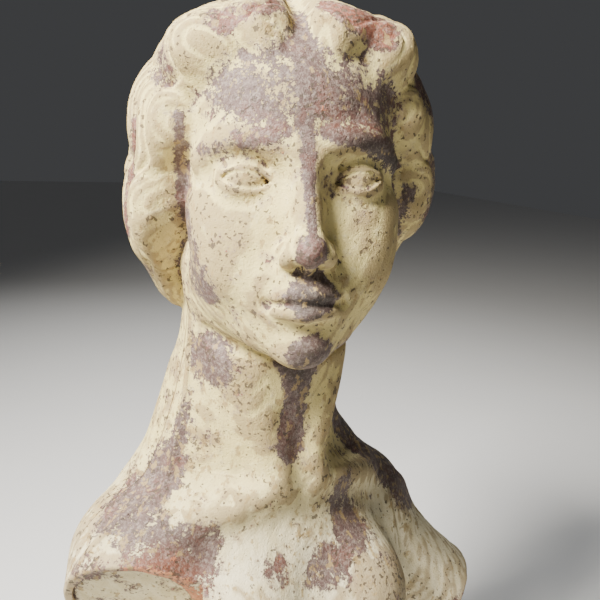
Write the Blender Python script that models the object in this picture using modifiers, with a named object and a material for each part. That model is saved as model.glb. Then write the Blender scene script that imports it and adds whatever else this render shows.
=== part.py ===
"""Classical head-and-shoulders bust in painted terracotta, standing on a turned socle.

The bust was pressed in two moulds, a front half and a back half, and luted together along a seam
that runs over both shoulders, up the neck and over the head. Each arm is cut short, and its open end
is closed by a clay slab. A steel rod, held in a plaster plug inside the foot of the bust, passes
down through the socle and is drawn tight by a nut in the socle's underside.

Metres, +Z up, front facing -Y, origin at the middle of the underside.
"""

import math

import bmesh
import bpy
import numpy as np
from mathutils import Euler, Matrix, Vector

COLLECTION = "classical_bust"
MM = 0.001
GAP = 0.3 * MM  # between pieces that touch

# Driving dimensions. The figure is laid out in life-size millimetres and then made smaller.
FIGURE_SCALE = 0.8
LIFE = FIGURE_SCALE * MM
FELT_THICKNESS = 2.5 * MM
SOCLE_HEIGHT = 95 * MM
SOCLE_RADIUS = 80 * MM
SOCLE_TOP_RADIUS = 54 * MM
GASKET_THICKNESS = 2 * MM
ROD_RADIUS = 5 * MM  # M10
ROD_HOLE_RADIUS = ROD_RADIUS + 0.5 * MM
NUT_ACROSS_FLATS = 17 * MM
NUT_HEIGHT = 8 * MM
WASHER_THICKNESS = 2.5 * MM
WASHER_RADIUS = 17 * MM
NUT_POCKET_RADIUS = 22 * MM
NUT_POCKET_DEPTH = 22 * MM
PLUG_RADIUS = 30 * MM
PLUG_HEIGHT = 42 * MM
DOWEL_RADIUS = 3 * MM
DOWEL_OFFSET = 36 * MM  # in front of the rod, in the thickness of the foot
DOWEL_DEPTH = 14 * MM  # into the foot and into the socle
SHELL_WALL = 11 * MM
SLAB_THICKNESS = 8 * MM
SLAB_SET_BACK = 1.5 * MM  # from the cut end of the arm

# Levels, from the table up.
SOCLE_BOTTOM = FELT_THICKNESS + GAP
SOCLE_TOP = SOCLE_BOTTOM + SOCLE_HEIGHT
GASKET_BOTTOM = SOCLE_TOP + GAP
FIGURE_BOTTOM = GASKET_BOTTOM + GASKET_THICKNESS + GAP
PLUG_TOP = FIGURE_BOTTOM + PLUG_HEIGHT
POCKET_TOP = SOCLE_BOTTOM + NUT_POCKET_DEPTH

# The figure's landmarks, in life-size millimetres: X to its left, Y backwards, Z up.
FOOT_Z = -25.0
FIGURE_SHIFT_Y = -6.0  # sets the figure's depth evenly over the socle
SEAM_Y = 18.0
HEAD_CENTRE = Vector((-3, -1, 400))  # between the ears
HEAD_NOD = math.radians(-5)
HEAD_LEAN = math.radians(-3)
HEAD_TURN = math.radians(-25)
NECK_X = -6.0  # the neck rises a little to the figure's right
ARM_RADIUS = 46.0
ARM_RIM = 6.0  # clay left round the slab
# The right arm is cut just below the shoulder and the left one further down:
# side, root, the way the arm points, length to the cut.
ARMS = {
    "right": (-1, Vector((-95, 10, 132)), Vector((-0.48, -0.76, -0.42)).normalized(), 32.0),
    "left": (1, Vector((114, 6, 84)), Vector((0.70, -0.32, -0.64)).normalized(), 96.0),
}
SHOULDERS = {-1: (92, 118), 1: (112, 106)}  # how far out and how high each one is

SKIN_VOXEL = 4.0 * LIFE
SKIN_TRIANGLES = 5600
HOLLOW_TRIANGLES = 700


def clear_scene():
    for obj in list(bpy.data.objects):
        bpy.data.objects.remove(obj)


def make_collections():
    """The collection of the parts, and the one of the cutters, which holds no parts."""
    made = []
    for name in (COLLECTION, "cutters"):
        collection = bpy.data.collections.new(name)
        bpy.context.scene.collection.children.link(collection)
        made.append(collection)
    return made


# ---------------------------------------------------------------- clay: rounded masses that blend


def figure_matrix():
    """From the figure's life-size millimetres to metres on the socle."""
    stand = Matrix.Translation((0, FIGURE_SHIFT_Y * LIFE, FIGURE_BOTTOM - FOOT_Z * LIFE))
    return stand @ Matrix.Scale(LIFE, 4)


def head_matrix():
    """From the head's own frame, with its origin between the ears, to the figure's."""
    turn = Euler((HEAD_NOD, HEAD_LEAN, HEAD_TURN)).to_matrix().to_4x4()
    return Matrix.Translation(HEAD_CENTRE) @ turn


class Mass:
    """A rounded lump of clay: it can be added as a mesh, and it knows the distance to its skin.

    blend is how widely it melts into the clay before it. A negative one presses it in as a hollow.
    """

    def __init__(self, blend, frame=None):
        self.blend = blend
        self.frame = frame or Matrix()

    def local(self, points):
        matrix = np.array(self.frame.inverted())
        return points @ matrix[:3, :3].T + matrix[:3, 3]


class Ball(Mass):
    def __init__(self, blend, centre, radii, frame=None):
        super().__init__(blend, frame)
        self.centre = Vector(centre)
        self.radii = Vector(radii)

    def add_to(self, clay):
        place = Matrix.Translation(self.centre) @ Matrix.Diagonal((*self.radii, 1))
        bmesh.ops.create_icosphere(clay, subdivisions=3, radius=1, matrix=self.frame @ place)

    def distance(self, points):
        scaled = (self.local(points) - np.array(self.centre)) / np.array(self.radii)
        level = np.linalg.norm(scaled, axis=1)
        slope = np.linalg.norm(scaled / np.array(self.radii), axis=1)
        return level * (level - 1) / np.maximum(slope, 1e-6)


class Limb(Mass):
    """A tapered limb with round ends."""

    def __init__(self, blend, start, end, start_radius, end_radius, frame=None):
        super().__init__(blend, frame)
        self.start, self.end = Vector(start), Vector(end)
        self.radii = (start_radius, end_radius)

    def add_to(self, clay):
        along = self.end - self.start
        turn = along.to_track_quat("Z", "Y").to_matrix().to_4x4()
        middle = Matrix.Translation((self.start + self.end) / 2)
        bmesh.ops.create_cone(
            clay,
            cap_ends=True,
            segments=24,
            radius1=self.radii[0],
            radius2=self.radii[1],
            depth=along.length,
            matrix=self.frame @ middle @ turn,
        )
        for end, radius in ((self.start, self.radii[0]), (self.end, self.radii[1])):
            Ball(0, end, (radius,) * 3, self.frame).add_to(clay)

    def distance(self, points):
        along = np.array(self.end - self.start)
        offset = self.local(points) - np.array(self.start)
        share = np.clip(offset @ along / (along @ along), 0, 1)
        radius = self.radii[0] + share * (self.radii[1] - self.radii[0])
        return np.linalg.norm(offset - share[:, None] * along, axis=1) - radius


class Roll(Mass):
    """Limbs end to end, as a roll of hair is laid on."""

    def __init__(self, blend, points, radii, frame=None):
        super().__init__(blend, frame)
        self.limbs = [
            Limb(0, points[i], points[i + 1], radii[i], radii[i + 1], frame)
            for i in range(len(points) - 1)
        ]

    def add_to(self, clay):
        for limb in self.limbs:
            limb.add_to(clay)

    def distance(self, points):
        return np.min([limb.distance(points) for limb in self.limbs], axis=0)


def torso_masses():
    masses = [
        Ball(0, (0, 12, 92), (110, 78, 100)),  # ribcage
        Ball(24, (0, 10, 136), (96, 62, 60)),  # collar
    ]
    for side, (out, high) in SHOULDERS.items():
        masses += [
            Ball(26, (side * 52, 56, 124), (48, 34, 64)),  # shoulder blade
            Limb(28, (NECK_X + side * 26, 30, 240), (side * (out - 16), 24, high + 24), 30, 36),
            Ball(24, (side * out, 16, high), (46, 46, 54)),  # shoulder
        ]
    masses += [
        Limb(18, root, root + aim * (length + 30), ARM_RADIUS, ARM_RADIUS - 2)
        for _, root, aim, length in ARMS.values()
    ]
    for side in (-1, 1):
        masses += [Ball(30, (side * 50, -52, 86), (48, 42, 50))]  # breast
    masses += [
        Limb(20, (0, 8, 60), (0, 8, -45), 80, 52),  # waist, cut flat below
        Limb(26, (NECK_X, 24, 185), (NECK_X + 2, 8, 335), 62, 56),  # neck
    ]
    for side in (-1, 1):
        muscle = [(NECK_X + side * 50, 2, 345), (NECK_X + side * 36, -24, 275)]
        muscle.append((NECK_X / 2 + side * 13, -40, 206))
        masses.append(Roll(18, muscle, [12, 10, 7]))
    return masses


def head_masses():
    head = head_matrix()
    masses = [
        Ball(6, (0, 12, 28), (72, 94, 80), head),  # skull
        Ball(16, (0, -26, -20), (58, 60, 82), head),  # face
        Ball(20, (0, -28, 42), (60, 56, 50), head),  # forehead
    ]
    for side in (-1, 1):
        masses += [
            Ball(20, (side * 43, -46, -18), (20, 22, 18), head),  # cheekbone
            Ball(22, (side * 33, -55, -46), (25, 26, 30), head),  # cheek
            Ball(20, (side * 38, -24, -54), (18, 32, 26), head),
            Limb(20, (side * 48, 0, -54), (side * 20, -60, -88), 16, 15, head),  # jaw
        ]
    masses += [
        Ball(14, (0, -76, -95), (18, 17, 14), head),  # chin
        Ball(16, (0, -72, -64), (31, 25, 26), head),  # mouth
        Limb(10, (0, -80, 16), (0, -97, -32), 7, 9, head),  # nose
        Ball(6, (0, -99, -38), (14, 10, 8), head),
    ]
    for side in (-1, 1):
        masses += [
            Limb(10, (side * 9, -82, 15), (side * 46, -68, 19), 6, 6, head),  # brow
            Ball(-8, (side * 32, -92, 1), (18, 13, 11), head),  # eye socket
            Ball(1, (side * 31.5, -69.5, 0), (14, 14, 13), head),  # eye
            Limb(4, (0, -98, -61), (side * 20, -90, -65), 4.5, 3, head),  # lips
            Limb(4, (0, -96, -73), (side * 18, -89, -70), 5.5, 3, head),
        ]
    masses += [
        Ball(5, (0, 15, 33), (92, 95, 85), head),  # hair
        Ball(14, (0, 106, -36), (33, 27, 30), head),  # knot at the nape
    ]
    for side in (-1, 1):
        masses.append(Ball(16, (side * 62, 10, -14), (42, 44, 60), head))  # hair over the ear
        masses.append(Ball(16, (side * 50, 28, -44), (40, 48, 48), head))
        points = [(6, -60, 93), (36, -60, 82), (62, -44, 60), (80, -24, 28)]
        roll = [(side * x, y, z) for x, y, z in points]
        masses.append(Roll(14, roll, [12, 14, 14, 13], head))  # hair over the brow
    return masses


def hollow_masses():
    """The hollow follows the outside at the wall's thickness, and opens through the foot."""
    wall = SHELL_WALL / LIFE
    head = head_matrix()
    bore = PLUG_RADIUS / LIFE
    masses = [
        Ball(0, (0, 14, 32), (72 - wall, 90 - wall, 80 - wall), head),
        Ball(10, (0, -14, -20), (58 - wall, 62 - wall, 74 - wall), head),
        Limb(20, (NECK_X, 24, 170), (NECK_X + 3, 6, 350), 60 - wall, 53 - wall),
        Ball(20, (0, 12, 92), (108 - wall, 76 - wall, 98 - wall)),
        Limb(10, (0, -FIGURE_SHIFT_Y, 60), (0, -FIGURE_SHIFT_Y, 25), bore + 20, bore + 6),
    ]
    for side, root, aim, length in ARMS.values():
        end = root + aim * (length - 26)
        masses.append(Limb(20, (side * 70, 12, 120), end, 44 - wall, 42 - wall))
    return masses


def blended_distance(masses, points):
    """Distance to the skin of all the masses, melted together in order."""
    total = np.full(len(points), 1000.0)
    for mass in masses:
        sign = -1 if mass.blend < 0 else 1
        width = max(abs(mass.blend), 0.01)
        near, own = sign * total, mass.distance(points)
        share = np.clip(0.5 + 0.5 * (own - near) / width, 0, 1)
        total = sign * (own + (near - own) * share - width * share * (1 - share))
    return total


def settle(mesh, masses):
    """Move every vertex onto the blended skin."""
    to_life = np.array(figure_matrix().inverted())
    points = np.empty(len(mesh.vertices) * 3)
    mesh.vertices.foreach_get("co", points)
    points = points.reshape(-1, 3) @ to_life[:3, :3].T + to_life[:3, 3]
    step = np.eye(3) * 0.5
    for _ in range(6):
        here = blended_distance(masses, points)
        ahead = [blended_distance(masses, points + step[i]) for i in range(3)]
        slope = np.stack([value - here for value in ahead], axis=1) / 0.5
        steepness = np.maximum((slope * slope).sum(axis=1), 0.2)
        points -= np.clip(here / steepness, -4, 4)[:, None] * slope
    to_metres = np.array(figure_matrix())
    points = points @ to_metres[:3, :3].T + to_metres[:3, 3]
    mesh.vertices.foreach_set("co", points.ravel())
    mesh.update()


def skin_over(name, collection, masses, triangles):
    """One closed skin over the masses, thinned to about that many triangles."""

    def fill(clay):
        for mass in masses:
            if mass.blend >= 0:
                mass.add_to(clay)
        clay.transform(figure_matrix())

    clay = add_mesh_object(f"{name}_clay", collection, fill)
    remesh = clay.modifiers.new("skin", "REMESH")
    remesh.mode = "VOXEL"
    remesh.voxel_size = SKIN_VOXEL
    relax = clay.modifiers.new("relax", "SMOOTH")
    relax.factor = 0.7
    relax.iterations = 12
    hide_helper(clay)
    mesh = evaluated_mesh(clay)
    settle(mesh, masses)
    skin = bpy.data.objects.new(name, mesh)
    collection.objects.link(skin)
    even = skin.modifiers.new("even", "SMOOTH")
    even.factor = 0.5
    even.iterations = 2
    thin = skin.modifiers.new("thin", "DECIMATE")
    thin.ratio = min(1.0, triangles / (2 * len(mesh.polygons)))
    hide_helper(skin)
    return skin


def evaluated_mesh(obj):
    bpy.context.view_layer.update()
    graph = bpy.context.evaluated_depsgraph_get()
    return bpy.data.meshes.new_from_object(obj.evaluated_get(graph))


def hide_helper(obj):
    obj.hide_render = True
    obj.display_type = "WIRE"


# ---------------------------------------------------------------- cutters and plain solids


def add_mesh_object(name, collection, fill):
    mesh = bpy.data.meshes.new(name)
    shape = bmesh.new()
    fill(shape)
    shape.to_mesh(mesh)
    shape.free()
    obj = bpy.data.objects.new(name, mesh)
    collection.objects.link(obj)
    return obj


def box(name, collection, low, high):
    low, high = Vector(low), Vector(high)
    place = Matrix.Translation((low + high) / 2) @ Matrix.Diagonal((*(high - low), 1))
    return add_mesh_object(
        name, collection, lambda shape: bmesh.ops.create_cube(shape, size=1, matrix=place)
    )


def cylinder(name, collection, base, height, radius, aim=Vector((0, 0, 1)), segments=40):
    """A round bar from base along aim."""
    turn = aim.to_track_quat("Z", "Y").to_matrix().to_4x4()
    place = Matrix.Translation(Vector(base) + aim * height / 2) @ turn
    return add_mesh_object(
        name,
        collection,
        lambda shape: bmesh.ops.create_cone(
            shape,
            cap_ends=True,
            segments=segments,
            radius1=radius,
            radius2=radius,
            depth=height,
            matrix=place,
        ),
    )


def boolean(obj, cutter, operation="DIFFERENCE"):
    modifier = obj.modifiers.new(f"{operation.lower()}_{cutter.name}", "BOOLEAN")
    modifier.operation = operation
    modifier.solver = "EXACT"
    modifier.object = cutter
    hide_helper(cutter)


def dowel_hole(name, cutters, low, high):
    """The cutter for the dowel's hole between two levels."""
    base = (0, -DOWEL_OFFSET, low)
    return cylinder(name, cutters, base, high - low + GAP, DOWEL_RADIUS + GAP, segments=24)


def soften(obj, width, segments=1):
    """A small bevel on the sharp edges."""
    bevel = obj.modifiers.new("bevel", "BEVEL")
    bevel.width = width
    bevel.segments = segments
    bevel.limit_method = "ANGLE"
    bevel.angle_limit = math.radians(50)


def material(name, colour, roughness, metallic=0.0):
    made = bpy.data.materials.get(name)
    if made is None:
        made = bpy.data.materials.new(name)
        made.use_nodes = True
        shader = made.node_tree.nodes["Principled BSDF"]
        shader.inputs["Base Color"].default_value = (*colour, 1)
        shader.inputs["Roughness"].default_value = roughness
        shader.inputs["Metallic"].default_value = metallic
    return made


def finish(obj, surface):
    obj.data.materials.clear()
    obj.data.materials.append(surface)
    obj.data.shade_smooth()
    obj.data.set_sharp_from_angle(angle=math.radians(40))
    return obj


# ---------------------------------------------------------------- the pieces


def arm_end(word):
    """The middle of an arm's cut end and the way it faces, in metres."""
    _, root, aim, length = ARMS[word]
    return figure_matrix() @ (root + aim * length), aim


def make_arm_slabs(parts, clay_surface):
    for word in ARMS:
        end, aim = arm_end(word)
        base = end - aim * (SLAB_SET_BACK + SLAB_THICKNESS)
        radius = (ARM_RADIUS - ARM_RIM) * LIFE - GAP
        slab = cylinder(f"{word}_arm_slab", parts, base, SLAB_THICKNESS, radius, aim)
        soften(slab, 0.8 * MM)
        finish(slab, clay_surface)


def cut_arm(form, cutters, word):
    """Cut an arm square across and sink the pocket for its slab."""
    end, aim = arm_end(word)
    cut_radius = (ARM_RADIUS + 7) * LIFE
    boolean(form, cylinder(f"{word}_arm_cut", cutters, end, 60 * MM, cut_radius, aim))
    depth = SLAB_SET_BACK + SLAB_THICKNESS + GAP
    radius = (ARM_RADIUS - ARM_RIM) * LIFE
    base = end - aim * depth
    boolean(form, cylinder(f"{word}_slab_pocket", cutters, base, depth + 5 * MM, radius, aim))


def make_shells(parts, cutters, clay_surface):
    """The front and back halves, from one skin that is cut at the arms, the foot and the seam."""
    form = skin_over("figure_form", cutters, torso_masses() + head_masses(), SKIN_TRIANGLES)
    hollow = skin_over("hollow_form", cutters, hollow_masses(), HOLLOW_TRIANGLES)
    reach = 0.5
    boolean(form, box("below_foot", cutters, (-reach, -reach, -reach), (reach, reach, FIGURE_BOTTOM)))
    for word in ARMS:
        cut_arm(form, cutters, word)
    boolean(form, hollow)
    bore_base = (0, 0, FIGURE_BOTTOM - 10 * MM)
    boolean(form, cylinder("foot_bore", cutters, bore_base, PLUG_HEIGHT + 30 * MM, PLUG_RADIUS))
    boolean(form, dowel_hole("foot_dowel_hole", cutters, FIGURE_BOTTOM - MM, FIGURE_BOTTOM + DOWEL_DEPTH))
    seam = (SEAM_Y + FIGURE_SHIFT_Y) * LIFE
    behind = box("behind_seam", cutters, (-reach, seam - GAP / 2, -reach), (reach, reach, 1))
    ahead = box("ahead_of_seam", cutters, (-reach, -reach, -reach), (reach, seam + GAP / 2, 1))
    for name, cutter in (("bust_front_shell", behind), ("bust_back_shell", ahead)):
        shell = bpy.data.objects.new(name, evaluated_mesh(form))
        parts.objects.link(shell)
        boolean(shell, cutter)
        finish(shell, clay_surface)


def socle_profile():
    """(radius, height above the socle's underside) down the outside, from the top."""
    top, foot, high = SOCLE_TOP_RADIUS, SOCLE_RADIUS, SOCLE_HEIGHT
    points = [(top - 2 * MM, high), (top, high - 2 * MM), (top, high - 9 * MM)]
    points += [(top - 5 * MM, high - 10 * MM), (top - 5 * MM, high - 13 * MM)]
    waist, fillet_top, fillet_foot = top - 19 * MM, high - 13 * MM, 33 * MM
    steps = 14
    for i in range(1, steps):  # the hollow curve between the top moulding and the foot
        t = i / steps
        blend = t * t * (3 - 2 * t)
        ends = (1 - blend) * (top - 7 * MM) + blend * (foot - 15 * MM)
        points.append((ends - (top - 7 * MM - waist) * math.sin(math.pi * t) ** 1.2,
                       fillet_top + t * (fillet_foot - fillet_top)))
    points += [(foot - 13 * MM, fillet_foot), (foot - 13 * MM, fillet_foot - 3 * MM)]
    ring_radius, ring_centre = 6.5 * MM, (foot - 11.5 * MM, fillet_foot - 9.5 * MM)
    for i in range(7):  # the round moulding
        angle = math.radians(90 - 30 * i)
        points.append((ring_centre[0] + ring_radius * math.cos(angle),
                       ring_centre[1] + ring_radius * math.sin(angle)))
    points += [(foot - 6 * MM, 17 * MM), (foot - 2 * MM, 17 * MM), (foot, 15 * MM)]
    points += [(foot, 1.5 * MM), (foot - 1.5 * MM, 0)]
    return points


def make_socle(parts, cutters, surface):
    """Turned about the rod: its outside, the rod's hole and the pocket for the lower nut."""
    outline = socle_profile()
    outline += [
        (NUT_POCKET_RADIUS, 0),
        (NUT_POCKET_RADIUS, NUT_POCKET_DEPTH),
        (ROD_HOLE_RADIUS, NUT_POCKET_DEPTH),
        (ROD_HOLE_RADIUS, SOCLE_HEIGHT),
    ]
    mesh = bpy.data.meshes.new("socle")
    points = [(r, 0, SOCLE_BOTTOM + z) for r, z in outline]
    edges = [(i, (i + 1) % len(points)) for i in range(len(points))]
    mesh.from_pydata(points, edges, [])
    socle = bpy.data.objects.new("socle", mesh)
    parts.objects.link(socle)
    turn = socle.modifiers.new("turn", "SCREW")
    turn.steps = turn.render_steps = 40
    turn.use_merge_vertices = True
    turn.merge_threshold = 0.00001
    turn.use_normal_calculate = True
    low = SOCLE_TOP - DOWEL_DEPTH - GAP
    boolean(socle, dowel_hole("socle_dowel_hole", cutters, low, SOCLE_TOP + MM))
    finish(socle, surface)


def ring(name, parts, cutters, base_z, height, outer, inner, surface, segments=40):
    """A flat ring round the rod's axis."""
    disc = cylinder(name, parts, (0, 0, base_z), height, outer, segments=segments)
    bore = cylinder(
        f"{name}_bore", cutters, (0, 0, base_z - MM), height + 2 * MM, inner, segments=32
    )
    boolean(disc, bore)
    finish(disc, surface)
    return disc


def make_nut(name, parts, cutters, base_z, surface):
    corner = NUT_ACROSS_FLATS / 2 / math.cos(math.radians(30))
    return ring(
        name, parts, cutters, base_z, NUT_HEIGHT, corner, ROD_RADIUS + GAP, surface, segments=6
    )


def make_fixings(parts, cutters, steel, plaster, leather, wood, felt):
    washer_z = PLUG_TOP + GAP
    nut_z = washer_z + WASHER_THICKNESS + GAP
    rod_top = nut_z + NUT_HEIGHT + 6 * MM
    low_washer_z = POCKET_TOP - GAP - WASHER_THICKNESS
    low_nut_z = low_washer_z - GAP - NUT_HEIGHT
    rod_bottom = low_nut_z - 4 * MM
    rod = cylinder("tie_rod", parts, (0, 0, rod_bottom), rod_top - rod_bottom, ROD_RADIUS, segments=32)
    finish(rod, steel)
    inner = ROD_HOLE_RADIUS
    ring("upper_washer", parts, cutters, washer_z, WASHER_THICKNESS, WASHER_RADIUS, inner, steel)
    make_nut("upper_nut", parts, cutters, nut_z, steel)
    ring("lower_washer", parts, cutters, low_washer_z, WASHER_THICKNESS, WASHER_RADIUS, inner, steel)
    make_nut("lower_nut", parts, cutters, low_nut_z, steel)
    plug_z = FIGURE_BOTTOM
    plug = ring(
        "plaster_plug", parts, cutters, plug_z, PLUG_HEIGHT, PLUG_RADIUS - GAP, inner, plaster
    )
    soften(plug, MM)
    dowel_z = SOCLE_TOP - DOWEL_DEPTH
    dowel_height = FIGURE_BOTTOM + DOWEL_DEPTH - dowel_z
    base = (0, -DOWEL_OFFSET, dowel_z)
    finish(cylinder("locating_dowel", parts, base, dowel_height, DOWEL_RADIUS, segments=24), wood)
    low, high = GASKET_BOTTOM, GASKET_BOTTOM + GASKET_THICKNESS
    gasket_radius = SOCLE_TOP_RADIUS - 6 * MM
    gasket = ring(
        "leather_gasket", parts, cutters, low, GASKET_THICKNESS, gasket_radius, inner, leather
    )
    boolean(gasket, dowel_hole("gasket_dowel_hole", cutters, low - MM, high + MM))
    pad = cylinder("felt_pad", parts, (0, 0, 0), FELT_THICKNESS, SOCLE_RADIUS - 3 * MM)
    finish(pad, felt)


def main():
    clear_scene()
    parts, cutters = make_collections()
    painted = material("painted_terracotta", (0.72, 0.66, 0.52), 0.75)
    slab_clay = material("slab_clay", (0.62, 0.58, 0.48), 0.85)
    steel = material("zinc_steel", (0.55, 0.55, 0.56), 0.4, 1.0)
    plaster = material("casting_plaster", (0.85, 0.83, 0.78), 0.9)
    leather = material("gasket_leather", (0.25, 0.15, 0.09), 0.7)
    wood = material("beech_dowel", (0.62, 0.45, 0.28), 0.6)
    felt = material("green_felt", (0.08, 0.16, 0.10), 0.95)
    make_shells(parts, cutters, painted)
    make_arm_slabs(parts, slab_clay)
    make_socle(parts, cutters, painted)
    make_fixings(parts, cutters, steel, plaster, leather, wood, felt)


main()
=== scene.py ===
import math

import bmesh
import bpy
import numpy as np
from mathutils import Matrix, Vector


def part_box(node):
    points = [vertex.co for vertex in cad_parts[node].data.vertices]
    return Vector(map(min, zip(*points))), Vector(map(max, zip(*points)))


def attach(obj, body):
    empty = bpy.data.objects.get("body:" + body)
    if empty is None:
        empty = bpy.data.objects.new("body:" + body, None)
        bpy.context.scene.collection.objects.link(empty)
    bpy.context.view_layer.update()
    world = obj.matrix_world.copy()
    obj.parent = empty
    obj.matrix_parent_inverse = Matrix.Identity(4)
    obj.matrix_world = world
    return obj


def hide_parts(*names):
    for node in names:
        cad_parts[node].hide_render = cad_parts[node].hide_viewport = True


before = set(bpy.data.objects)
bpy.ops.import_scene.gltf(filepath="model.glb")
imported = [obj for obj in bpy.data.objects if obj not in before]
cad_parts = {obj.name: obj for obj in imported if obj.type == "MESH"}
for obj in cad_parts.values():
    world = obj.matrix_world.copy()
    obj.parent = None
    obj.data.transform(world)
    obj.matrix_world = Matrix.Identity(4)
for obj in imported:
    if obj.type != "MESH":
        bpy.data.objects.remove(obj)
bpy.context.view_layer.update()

import openvdb
from bpy.props import FloatProperty, FloatVectorProperty, IntProperty, PointerProperty
from bpy.types import Operator, Panel, PropertyGroup
from mathutils import Matrix, Quaternion, Vector

bl_info = {
    "name": "Terracotta Bust",
    "version": (1, 0, 0),
    "blender": (4, 5, 0),
    "location": "View3D > Sidebar > Bust",
    "description": "Sculpts and paints a press-moulded terracotta bust on its turned socle",
    "category": "Object",
}

MM = 0.001
GAP = 0.3 * MM
FIGURE_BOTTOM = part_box("bust_front_shell")[0].z
SOCLE_LOW, SOCLE_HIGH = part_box("socle")
FELT_LOW, FELT_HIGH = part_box("felt_pad")
GASKET_LOW, GASKET_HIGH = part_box("leather_gasket")
ROD_LOW, ROD_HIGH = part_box("tie_rod")

# The figure is laid out in life-size millimetres: X to its left, Y backwards, Z up.
FOOT_Z = -25.0
FIGURE_SHIFT_Y = -6.0
SEAM_Y = 18.0
NECK_X = -6.0
ARM_RADIUS = 46.0
ARM_RIM = 6.0
SIDES = (-1, 1)  # the figure's right, its left
SHOULDERS = {-1: (92, 118), 1: (112, 106)}  # each one's distance out and height


def unit(vector):
    vector = np.array(vector, float)
    return vector / np.linalg.norm(vector)


ARMS = {
    "right": (np.array([-95, 10, 132.0]), unit((-0.48, -0.76, -0.42)), 32.0),
    "left": (np.array([114, 6, 84.0]), unit((0.70, -0.32, -0.64)), 96.0),
}


# ---------------------------------------------------------------- sizes and colours


def amount(name, description, default, **more):
    return FloatProperty(name=name, description=description, default=default, **more)


def angle(name, description, degrees):
    return amount(name, description, math.radians(degrees), subtype="ANGLE")


def paint(name, description, colour):
    more = {"subtype": "COLOR", "size": 3, "min": 0, "max": 1, "default": colour}
    return FloatVectorProperty(name=name, description=description, **more)


class BustSizes(PropertyGroup):
    """Sizes that a maker would change."""

    figure_scale: amount("Figure scale", "Size of the figure against life", 0.8, min=0.3, max=1.2)
    grain: amount("Sculpting grain", "Spacing of sample points, in life-size mm", 1.25, min=0.8, max=5)
    shell_triangles: IntProperty(
        name="Shell triangles", description="Triangles kept on the figure's skin", default=300000
    )
    wall: amount("Wall", "Thickness of the pressed clay", 11 * MM, unit="LENGTH")
    seam_height: amount("Seam height", "How proud the luted seam stands, in life-size millimetres", 3.0)
    thread_pitch: amount("Thread pitch", "Pitch of the tie rod's thread", 1.5 * MM, unit="LENGTH")


class BustColours(PropertyGroup):
    """Colours of the paint layers and the clay."""

    cream: paint("Cream", "Chalky top coat on the face and neck", (0.66, 0.545, 0.22))
    chalk: paint("Chalk", "Cooler top coat on the chest", (0.70, 0.63, 0.43))
    umber: paint("Umber", "Purple-brown coat under the cream", (0.105, 0.062, 0.052))
    soot: paint("Soot", "Almost black brown in the deepest wear", (0.030, 0.022, 0.016))
    rust: paint("Rust", "Red-brown on the raised hair and the arms", (0.190, 0.062, 0.034))
    terracotta: paint("Terracotta", "Bare fired clay", (0.56, 0.25, 0.12))
    ochre: paint("Ochre", "Stains and flecks", (0.36, 0.25, 0.10))


class StageSettings(PropertyGroup):
    """The camera's place and the studio."""

    azimuth: angle("Azimuth", "Round the bust from the front", -36)
    elevation: angle("Elevation", "Camera above the level", 15)
    roll: angle("Roll", "Camera's tilt", 4.5)
    view_angle: angle("View angle", "Lens's field of view", 49)
    distance: amount("Distance", "Camera to what it looks at", 0.316, unit="LENGTH")
    aim: FloatVectorProperty(
        name="Aim",
        description="What the camera looks at",
        subtype="XYZ",
        size=3,
        default=(-0.0225, -0.0576, 0.389),
    )
    floor: paint("Floor", "Colour of the floor", (0.80, 0.79, 0.77))


# ---------------------------------------------------------------- clay


def length(v):
    return np.sqrt((v * v).sum(-1))


def melt(a, b, width):
    """The lower of two distances, run together over a width."""
    share = np.clip(0.5 + 0.5 * (b - a) / max(width, 0.01), 0, 1)
    return b + (a - b) * share - width * share * (1 - share)


def rotation(nod, lean, turn):
    nod, lean, turn = map(math.radians, (nod, lean, turn))
    about_x = [[1, 0, 0], [0, math.cos(nod), -math.sin(nod)], [0, math.sin(nod), math.cos(nod)]]
    about_y = [[math.cos(lean), 0, math.sin(lean)], [0, 1, 0], [-math.sin(lean), 0, math.cos(lean)]]
    about_z = [[math.cos(turn), -math.sin(turn), 0], [math.sin(turn), math.cos(turn), 0], [0, 0, 1]]
    return np.array(about_z) @ np.array(about_y) @ np.array(about_x)


HEAD_ROTATION = rotation(-5, -3, -25)
HEAD_ORIGIN = np.array([-3.0, -1, 400])


class Ball:
    """An ellipsoid of clay."""

    def __init__(self, centre, radii):
        self.centre = np.array(centre, np.float32)
        self.radii = np.array(radii if np.ndim(radii) else (radii,) * 3, np.float32)
        self.reach = float(self.radii.max())

    def distance(self, points):
        scaled = (points - self.centre) / self.radii
        level = length(scaled)
        return level * (level - 1) / np.maximum(length(scaled / self.radii), 1e-6)


class Limb:
    """A tapering sausage of clay."""

    def __init__(self, start, end, start_radius, end_radius):
        self.start, end = np.array(start, np.float32), np.array(end, np.float32)
        self.along = end - self.start
        self.radius, self.gain = start_radius, end_radius - start_radius
        self.centre = (self.start + end) / 2
        self.reach = float(length(self.along)) / 2 + max(start_radius, end_radius)

    def distance(self, points):
        offset = points - self.start
        t = np.clip(offset @ self.along / max(float(self.along @ self.along), 1e-6), 0, 1)
        return length(offset - t[..., None] * self.along) - (self.radius + t * self.gain)


class Form:
    """Any form that has a distance function and a reach round a centre."""

    def __init__(self, centre, reach, distance):
        self.centre, self.reach, self.distance = np.array(centre, np.float32), reach, distance


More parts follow.
